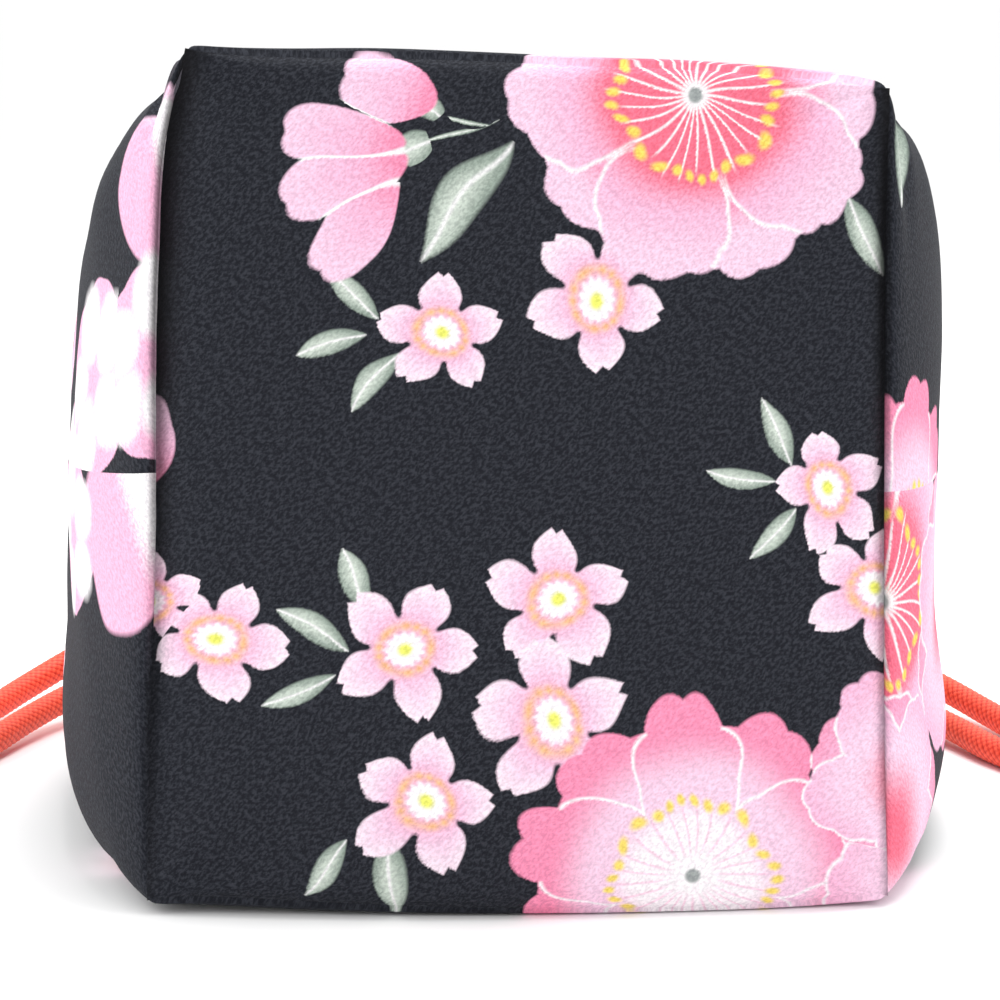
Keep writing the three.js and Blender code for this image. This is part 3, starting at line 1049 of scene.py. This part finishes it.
# the same, then 0 for pink petals or 1 for white ones
plainFlowers = [
    (52.0, -37.5, 15.5, 126, 0), (56.0, -55.5, 18.5, 100, 0), (80.5, -84.0, 21.0, 70, 0),
    (-81.6, 56.0, 12.8, 70, 1), (-84.0, 73.0, 14.6, 30, 1), (-100.0, 85.0, 13.0, 30, 1),
    (-92.0, -82.0, 12.0, 50, 1),
]

# middle across and along, half length, half width, turn of the tip; leaves and stems in the same way
loosePetals = [
    (-16.0, 50.6, 6.3, 5.2, 166), (-21.6, 43.8, 8.3, 5.0, 174), (-21.0, 38.2, 8.6, 5.0, 200),
    (-20.0, 32.8, 8.8, 4.0, 232), (-93.0, -61.5, 12.6, 14.0, 180), (-48.0, 5.8, 6.6, 5.4, 87),
    (-58.0, 58.6, 12.0, 9.0, 17),
]
leaves = [
    (-6.6, 35.6, 9.6, 2.7, 232), (-20.6, 23.9, 4.5, 1.6, 141), (-23.3, 17.4, 5.0, 1.6, 197),
    (-17.7, 12.6, 4.8, 1.6, 231), (33.2, 5.7, 4.8, 1.5, 113), (28.4, 0.7, 4.4, 1.4, 165),
    (32.4, -6.9, 4.0, 1.3, 226), (-20.9, -12.6, 4.0, 1.7, 111), (-26.0, -18.5, 5.2, 1.7, 150),
    (-28.1, -26.1, 5.6, 1.5, 202), (-24.4, -48.8, 4.6, 1.6, 230), (-15.8, -50.4, 5.0, 2.1, 277),
    (54.5, 56.5, 9.0, 4.0, 4), (44.9, 31.3, 5.4, 1.9, 296), (-10.6, 48.3, 2.9, 1.5, 142),
    (-12.2, 42.4, 3.6, 2.6, 204), (-50.0, 92.0, 7.5, 2.3, 120), (14.0, 78.0, 6.5, 2.0, 250),
    (26.0, -72.0, 5.6, 1.8, 150), (-22.0, 124.0, 5.0, 1.6, 20), (-6.0, 46.4, 4.0, 0.34, 166),
    (-6.8, 44.6, 5.2, 0.36, 199),
]


def repeated(along, reach):
    # where an item shows within one repeat, which it may cross at either end
    whole, half = printed["repeat"], printed["repeat"] / 2
    along = (along + half) % whole - half
    return [along] + [along - whole * way for way in (1, -1) if along * way + reach > half]


def nearest(g, spot, items):
    # the item whose circle is nearest, as a point in its own measure; its whole degrees of turn and
    # one more value, from 0 to 9.9, ride along in the third place
    best, distance, tiny = None, None, 1e-4
    for x, along, size, turn, *more in items:
        extra = more[0] if more else 0
        for place in repeated(along, size):
            code = (round(turn) % 360 + 0.05 + extra * 0.09) * tiny
            own = g.vector("MULTIPLY_ADD", spot, (1 / size, 1 / size, 0), (-x / size, -place / size, code))
            far = g.value(g.vector("LENGTH", own, out=1))
            if best is None:
                best, distance = own, far
            else:
                best = g.mixVector(g.math("LESS_THAN", far, distance), best, own)
                distance = distance.atMost(far)
    code = g.axes(best)[2] / tiny
    turn = g.math("FLOOR", code)
    turned = g.node("ShaderNodeVectorRotate", {"rotation_type": "Z_AXIS"}, Vector=best,
                    Angle=turn * (-math.pi / 180))
    x, y, _ = g.axes(turned.outputs[0])
    return x, y, (g.math("FRACT", code) - 0.05) / 0.09


def nearestPetal(g, spot):
    # petals lie close, so the nearest outline counts, and how clearly it is the nearest
    best, distance, second = None, None, None
    for x, along, length, width, turn in loosePetals:
        for place in repeated(along, length):
            own = g.node("ShaderNodeMapping", {"vector_type": "TEXTURE"}, Vector=spot, Location=(x, place, 0),
                         Rotation=(0, 0, math.radians(turn)), Scale=(length, width, 1)).outputs[0]
            far = g.value(g.vector("LENGTH", own, out=1))
            if best is None:
                best, distance = own, far
                continue
            second = far.atLeast(distance) if second is None else second.atMost(far.atLeast(distance))
            best = g.mixVector(g.math("LESS_THAN", far, distance), best, own)
            distance = distance.atMost(far)
    return best, second - distance


def fromMiddle(g, x, y):
    return g.math("SQRT", x * x + y * y)


def petalFold(g, angle, offset):
    # the angle from the middle of the nearest of five petals
    step = 2 * math.pi / 5
    return abs(g.math("FRACT", angle / step + (0.5 + offset)) - 0.5) * step


def inked(inside, sharp):
    # a printed shape's mask from how far inside it a spot is
    return (inside * sharp + 0.5).clamped()


def outlined(inside):
    # a thin line just inside a shape's edge
    return (1.0 - abs(inside - 0.02) / 0.05).clamped()


# a small flower's own measures, as shares of its radius
blossom = {
    "size": 9.0,  # a usual radius, for the softness of its edge
    "length": 1.03,
    "halfWidth": 0.315,
    "notch": 0.9,
    "core": 0.475,
    "hollow": 0.09,  # how softly petals flow into the middle
    "ring": 0.36,
    "dots": 11.0,
    "star": 0.27,
    "starPoints": 13.0,
}


def smallFlower(g, found, under, grain):
    x, y, _ = found
    r, angle = fromMiddle(g, x, y), g.math("ARCTAN2", y, x)
    fold = petalFold(g, angle, 0.0)
    along, beside = r * g.math("COSINE", fold), r * g.math("SINE", fold)
    half = g.math("SINE", (along / blossom["length"]).clamped() ** 1.35 * math.pi) * blossom["halfWidth"]
    notched = (beside * 0.8 - along + blossom["notch"]) * 1.2
    petals = (half - beside).atMost(notched)
    joined = g.math("SMOOTH_MAX", petals, blossom["core"] - r, blossom["hollow"])
    shade = g.mixColour(g.eased(r + grain * 0.05, 0.36, 0.66), printed["pink"], printed["palePink"])
    shade = g.mixColour(g.eased(r + beside * 0.5, 0.6, 1.05) * 0.85, shade, printed["whitePink"])
    # a soft ring with dots on it, a white star and its pale eye
    dots = 0.55 + 0.45 * g.math("COSINE", angle * blossom["dots"] + 2.0 * g.math("SINE", angle * 3.0))
    offRing = abs(r - blossom["ring"])
    shade = g.mixColour((1.0 - offRing / 0.15).clamped() ** 2.0 * 0.55, shade, printed["orange"])
    shade = g.mixColour((1.0 - offRing / 0.085).clamped() * dots * 0.9, shade, printed["orange"])
    star = blossom["star"] + 0.02 * g.math("COSINE", angle * blossom["starPoints"]) - r
    shade = g.mixColour(g.eased(star, -0.035, 0.06), shade, printed["white"])
    shade = g.mixColour(g.eased(r, 0.15, 0.05), shade, printed["lemon"])
    return g.mixColour(inked(joined, blossom["size"] / printed["edge"]), under, shade)


def petalOutline(g, r, fold, middle, long, wide, lobes, depth):
    # below 0 outside a broad petal with a scalloped end, above 0 inside
    along, beside = (r * g.math("COSINE", fold) - middle) / long, r * g.math("SINE", fold) / wide
    around = g.math("ARCTAN2", beside, along)
    scallop = (abs(g.math("SINE", around * lobes)) - 0.75) * (along + 0.5).clamped() * depth
    return scallop + 1.0 - fromMiddle(g, along, beside)


# a large flower's own measures, as shares of its radius
bloom = {
    "sharp": 7.6,  # sharpness of its edge for a usual radius
    "rays": 26,
    "rayWidth": 0.0085,
    "dots": 29,
    "dotRing": 0.425,
    "dotStray": 0.022,
    "eye": 0.056,
}


def bloomMiddle(g, r, angle, far, white, result):
    # rays, a ring of dots and a grey eye
    dark = 1.0 - white
    step = 2 * math.pi / bloom["rays"]
    ray = abs(g.math("FRACT", angle / step + 0.16 * g.math("SINE", angle * 5.0)) - 0.5) * step
    rays = (1.25 - r * ray / bloom["rayWidth"]).clamped()
    ends = g.eased(r + 0.04 * g.math("SINE", angle * 9.0), 0.47, 0.38)
    pinkRays = rays * white * g.eased(r, 0.42, 0.38) * g.eased(r, 0.08, 0.22)
    result = g.mixColour(g.eased(far, 0.55, 0.38) * dark, result, printed["rose"])
    result = g.mixColour(g.eased(r, 0.46, 0.3) * white * 0.85, result, printed["white"])
    result = g.mixColour(rays * ends * dark * 0.9, result, printed["white"])
    result = g.mixColour(pinkRays * 0.55, result, printed["pink"])
    result = g.mixColour(g.eased(r, 0.11, 0.03), result, printed["white"])
    step = 2 * math.pi / bloom["dots"]
    beside = (g.math("FRACT", angle / step + 0.35 * g.math("SINE", angle * 4.0)) - 0.5) * step * r
    out = r - bloom["dotRing"] - bloom["dotStray"] * g.math("SINE", angle * 8.0 + 1.0)
    dots = g.eased(fromMiddle(g, beside, out), 0.046, 0.014)
    result = g.mixColour(dots * 0.95, result, printed["yellow"])
    return g.mixColour(g.eased(r, bloom["eye"], 0.03), result, printed["grey"])


def largeFlower(g, found, under, grain):
    # one kind glows in the middle and fades outwards, the other is white there and deepens
    x, y, white = found
    r, angle = fromMiddle(g, x, y), g.math("ARCTAN2", y, x)
    sharp = bloom["sharp"] / printed["edge"]
    lobes, depth = 5.2 - white * 1.4, 0.07 + white * 0.06
    toFront, toBack = petalFold(g, angle, 0.0), petalFold(g, angle, 0.5)
    middle, long, wide = 0.63 - white * 0.09, 0.36 + white * 0.09, 0.37 - white * 0.075
    front = petalOutline(g, r, toFront, middle, long, wide, lobes, depth)
    back = petalOutline(g, r, toBack, 0.58, 0.37, 0.38, lobes, depth)
    backMask = inked(back, sharp).atLeast(g.eased(r, 0.60, 0.57))
    far = r + grain * 0.03
    fading = g.mixColour(g.eased(far, 0.40, 0.68), printed["rose"], printed["pink"])
    fading = g.mixColour(g.eased(far, 0.6, 0.95), fading, printed["palePink"])
    deepening = g.mixColour(g.eased(far, 0.52, 0.82), printed["palePink"], printed["deepPink"])
    behind = g.mixColour(g.eased(far, 0.55, 0.8), printed["deepPink"], printed["palePink"])
    # white lines where a petal lies over another
    line = (1.0 - toBack * r / 0.018).clamped() * g.eased(r, 0.62, 0.56) * (1.0 - white)
    result = g.mixColour(backMask, under, g.mixColour(white, behind, deepening))
    result = g.mixColour(inked(front, sharp), result, g.mixColour(white, fading, deepening))
    result = g.mixColour((outlined(front) * backMask).atLeast(line) * 0.95, result, printed["white"])
    return bloomMiddle(g, r, angle, far, white, result)


def plainFlower(g, found, under, grain):
    # a flower whose middle is hidden in a seam: pink petals with white edges, or loose white ones
    x, y, white = found
    r, angle = fromMiddle(g, x, y), g.math("ARCTAN2", y, x)
    sharp = 0.8 * bloom["sharp"] / printed["edge"]
    lobes, depth = 4.4, 0.09 - white * 0.05
    front = petalOutline(g, r, petalFold(g, angle, 0.0), 0.6, 0.4, 0.41 - white * 0.07, lobes, depth)
    back = petalOutline(g, r, petalFold(g, angle, 0.5), 0.55, 0.41, 0.42 + white * 0.2, lobes, depth)
    middle = g.eased(r, 0.55, 0.48)
    backMask = inked(back, sharp).atLeast(middle)
    frontMask = inked(front, sharp * (1.0 - white * 0.85)).atLeast(middle * (1.0 - white))
    far = r + grain * 0.03
    shade = g.mixColour(g.eased(far, 0.1, 0.56), printed["rose"], printed["palePink"])
    shade = g.mixColour(g.eased(far, 0.55, 1.0), shade, printed["pink"])
    shade = g.mixColour(white, shade, printed["white"])
    behind = g.mixColour(g.eased(far, 0.5, 1.0) * 0.7, printed["pink"], printed["deepPink"])
    behind = g.mixColour(white, behind, printed["pink"])
    result = g.mixColour(backMask, under, behind)
    result = g.mixColour(frontMask, result, shade)
    # white edges show on other petals and not on the bare cloth
    lit = (g.axes(under)[0] * 2.0).clamped()
    rim = (outlined(front) * backMask.atLeast(lit)).atLeast(outlined(back) * lit * (1.0 - frontMask))
    rim = rim * g.eased(r, 0.42, 0.5) * (1.0 - white)
    return g.mixColour(rim * 0.9, result, printed["white"])


def loosePetal(g, found, under, grain, faded):
    own, clear = found
    x, y, _ = g.axes(own)
    around = g.math("ARCTAN2", y, x)
    wavy = (abs(g.math("SINE", around * 2.6)) - 0.8) * x.clamped() * 0.14
    base = (1.0 - x) * 0.5
    inside = wavy + 1.0 - g.math("SQRT", x * x + y * y * (1.0 + 1.5 * base * base))
    shade = g.mixColour(g.eased(x + grain * 0.15, -0.9, 0.0), printed["deepPink"], printed["pink"])
    shade = g.mixColour(g.eased(x + abs(y) * 0.4, -0.1, 1.0) * 0.9, shade, printed["palePink"])
    shade = g.mixColour(g.eased(clear, 0.11, 0.02), shade, printed["white"])
    # petals beyond the base are paler, and white towards one side
    paler = g.mixColour(g.eased(x * 0.5 - y + grain * 0.1, 0.2, 0.55), printed["pink"], printed["white"])
    shade = g.mixColour(faded, shade, paler)
    return g.mixColour(inked(inside, 5.0 / printed["edge"]), under, shade)


def leafShape(g, found, under, grain):
    # slim is nine times the leaf's width over its length
    x, y, slim = found
    y = y * 9.0 / slim
    inside = (1.0 - x * x).atLeast(0.0) - abs(y)
    # a stem is a very slim leaf, and softer at its edge
    sharp = (slim * (0.8 / printed["edge"])).atMost(4.7)
    mask = inked(inside, sharp) * g.math("LESS_THAN", abs(x), 1.0)
    rib = (1.0 - abs(y + 0.06 * x) / 0.17).clamped()
    pale = g.eased(inside + x * 0.35 + grain * 0.1, -0.1, 0.95)
    shade = g.mixColour(pale, printed["leaf"], printed["leafPale"])
    shade = g.mixColour(rib * 0.8, shade, printed["white"])
    return g.mixColour(mask, under, shade)


crepe = {
    "pebble": 1.95,  # pebbles to the millimetre
    "pebbleSize": (1.35, 0.75, 1),
    "slant": 0.75,  # turn of the pebbles' long side
    "wrinkle": 1.3,
    "wrinkleSize": (0.5, 2.0, 1),
    "bump": 0.00032,
    "edge": 0.3,  # how far the print's edges follow the pebbles, in millimetres
    "hand": 2.55,  # how far the hand-drawn print strays
    "handScale": 0.085,
    "faded": (48.0, 49.5),  # where across the cloth the loose petals turn paler
    "inside": colour(96, 92, 100),
    # the colour of the painted shade in the folds beside the corner seams
    "paintedSeamShade": colour(12, 11, 13),
}


def clothNoise(g, flat, scale, detail, roughness=0.5):
    return g.node("ShaderNodeTexNoise", {"noise_dimensions": "2D"}, Vector=flat, Scale=scale,
                  Detail=detail, Roughness=roughness).outputs


def clothMaterial():
    material, g, shader = shaderFor("printedCrepe", {
        "Roughness": 0.85, "Specular IOR Level": 0.14, "Sheen Weight": 0.04, "Sheen Roughness": 0.4,
    })
    flat = g.node("ShaderNodeUVMap", {"uv_map": "cloth"}).outputs[0]
    # crepe: small slanting pebbles, and finer wrinkles that run across
    slant = g.node("ShaderNodeMapping", {"vector_type": "TEXTURE"}, Vector=flat,
                   Rotation=(0, 0, crepe["slant"]), Scale=crepe["pebbleSize"]).outputs[0]
    across = g.node("ShaderNodeMapping", Vector=flat, Scale=crepe["wrinkleSize"]).outputs[0]
    pebble = g.value(clothNoise(g, slant, crepe["pebble"], 2.0, 0.7)[0])
    wrinkle = g.value(clothNoise(g, across, crepe["wrinkle"], 2.0)[0])
    # the print strays a little from its exact shapes, and its edges follow the crepe
    stray = g.vector("SUBTRACT", clothNoise(g, flat, crepe["handScale"], 0.0)["Color"], (0.5, 0.5, 0.5))
    x, along, _ = g.axes(g.vector("ADD", flat, g.scaled(stray, crepe["hand"])))
    edgeShift = (pebble - 0.5) * crepe["edge"]
    whole, half = printed["repeat"], printed["repeat"] / 2
    folded = g.math("FLOORED_MODULO", along + half + edgeShift, whole) - half
    spot = g.node("ShaderNodeCombineXYZ", X=x + edgeShift, Y=folded).outputs[0]  # on one repeat
    grain = pebble * 2.0 - 1.0
    slimness = [(x, y, long, turn, wide / long * 9) for x, y, long, wide, turn in leaves]
    shade = leafShape(g, nearest(g, spot, slimness), printed["cloth"], grain)
    shade = loosePetal(g, nearestPetal(g, spot), shade, grain, g.eased(abs(x), *crepe["faded"]))
    for draw, items in ((smallFlower, smallFlowers), (smallFlower, upperFlowers), (largeFlower, largeFlowers),
                        (plainFlower, plainFlowers)):
        shade = draw(g, nearest(g, spot, items), shade, grain)
    # painted light on the crepe: painted highlight on the pebbles and painted shade between them
    paintedPebbleLight = g.eased(pebble + (wrinkle - 0.5) * 0.3, 0.28, 0.7)
    paintedPebbleShade = g.mixColour(paintedPebbleLight, (0.76, 0.76, 0.78, 1), (0.99, 0.99, 0.99, 1))
    shade = g.mixColour(1.0, shade, paintedPebbleShade, "MULTIPLY")
    # painted highlight on the tops of the pebbles
    shade = g.mixColour(paintedPebbleLight * paintedPebbleLight * 0.07, shade, (0.29, 0.31, 0.37, 1), "ADD")
    shade = g.mixColour(g.attribute("inside") * 0.55, shade, crepe["inside"])
    # painted shade: the folds beside the corner seams are darkened in the colour
    shade = g.mixColour(g.attribute("paintedSeamShade") * 0.9, shade, crepe["paintedSeamShade"])
    height = pebble * 0.7 + wrinkle * 0.3
    bump = g.node("ShaderNodeBump", Strength=0.6, Distance=crepe["bump"], Height=height)
    g.put(shader.inputs["Base Color"], shade)
    g.put(shader.inputs["Normal"], bump.outputs["Normal"])
    print("cloth nodes", len(material.node_tree.nodes))
    return material


# the cord's colours: painted shade in the gaps between carriers and painted highlight on their crests
braidLook = {
    "paintedGapShade": colour(205, 42, 24),
    "paintedCrestHighlight": colour(255, 104, 72),
    "fibres": 2600.0,
    "bump": 0.0001,
}


def braidMaterial():
    material, g, shader = shaderFor("cordBraid", {
        "Roughness": 0.55, "Specular IOR Level": 0.3, "Sheen Weight": 0.15, "Sheen Roughness": 0.4,
    })
    place = g.node("ShaderNodeTexCoord").outputs["Object"]
    fibres = g.node("ShaderNodeTexNoise", Vector=place, Scale=braidLook["fibres"], Detail=2.0)
    fibre = g.value(fibres.outputs[0])
    # painted light: darker where the braid sinks and lighter on its raised carriers
    paintedBraidLight = g.eased(g.attribute("braid") + (fibre - 0.5) * 0.3, 0.35, 1.0)
    g.put(shader.inputs["Base Color"], g.mixColour(paintedBraidLight, braidLook["paintedGapShade"], braidLook["paintedCrestHighlight"]))
    bump = g.node("ShaderNodeBump", Strength=0.4, Distance=braidLook["bump"], Height=fibre)
    g.put(shader.inputs["Normal"], bump.outputs["Normal"])
    return material


def areaLight(name, place, target, size, power):
    lamp = bpy.data.lights.new(name, "AREA")
    lamp.shape = "DISK"
    lamp.size = size
    lamp.energy = power
    light = bpy.data.objects.new(name, lamp)
    scene.collection.objects.link(light)
    light.location = place
    light.rotation_euler = (Vector(target) - Vector(place)).to_track_quat("-Z", "Y").to_euler()


studio = {
    "world": 1.08,
    "floorHalf": 30.0,
    "floorShade": (0.93, 0.93, 0.93, 1),
    "lights": {
        "keyLight": {"place": (0.12, 0.16, 0.75), "target": (0, -0.02, 0.04), "size": 0.5, "power": 5.0},
        "fillLight": {"place": (-0.6, 0.05, 0.42), "target": (0, -0.03, 0.05), "size": 0.6, "power": 1.6},
    },
}


def addStudio(values):
    far = values["floorHalf"]
    corners = [(-far, -far, 0), (far, -far, 0), (far, far, 0), (-far, far, 0)]
    paleFloor = plainMaterial("paleFloor", values["floorShade"], roughness=0.9, gloss=0.1)
    floor = meshObject("floorPlane", corners, [(0, 1, 2, 3)], paleFloor)
    world = bpy.data.worlds.new("studio")
    world.use_nodes = True
    background = world.node_tree.nodes["Background"]
    background.inputs["Strength"].default_value = values["world"]
    background.inputs["Color"].default_value = (1, 1, 1, 1)
    scene.world = world
    for name, light in values["lights"].items():
        areaLight(name, **light)
    scene.view_settings.view_transform = "Standard"


addCamera(cameraView)
print("camera placed")

cordMaterial = braidMaterial()
braid = braidTree()
strands = {}
for label, upper, lower, side, y in (
    ("left", leftUpper, leftLower, -1, cord["leftY"]),
    ("right", rightUpper, rightLower, 1, cord["rightY"]),
):
    upperLine, ringLine, lowerLine = splitRoute(upper, lower, side, y)
    for part, line in (("UpperStrand", upperLine), ("CasingTurn", ringLine), ("LowerStrand", lowerLine)):
        piece = braidedTube(label + part, [line], cordMaterial, braid)
        strands[label + part] = (piece, line)
        print(label + part, round(lineLength(line), 4), len(piece.data.polygons))

ties = {}
for label in ("left", "right"):
    ties[label] = braidedTube(label + "OverhandKnot", knotStrands(knots[label]), cordMaterial, braid,
                              Radius=knots["radius"])
    print(label + " knot", len(ties[label].data.polygons))

pouch, skin = clothPiece("printedPouch", clothMaterial())
thread = plainMaterial("sewingThread", stitches["shade"], roughness=0.6, gloss=0.3)
sewing = sewnRows("casingStitches", skin, thread)
print("stitches", len(sewing.data.polygons))
print("cloth", len(pouch.data.polygons))

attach(pouch, "root")
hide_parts("pouch_shell")
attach(sewing, "root")
for label, tie in ties.items():
    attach(tie, "root")
    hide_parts(label + "_knot")
for name, (piece, line) in strands.items():
    label = "left" if name.startswith("left") else "right"
    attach(piece, "root")
    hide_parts(label + "_cord")
    "Strand" in name

addStudio(studio)
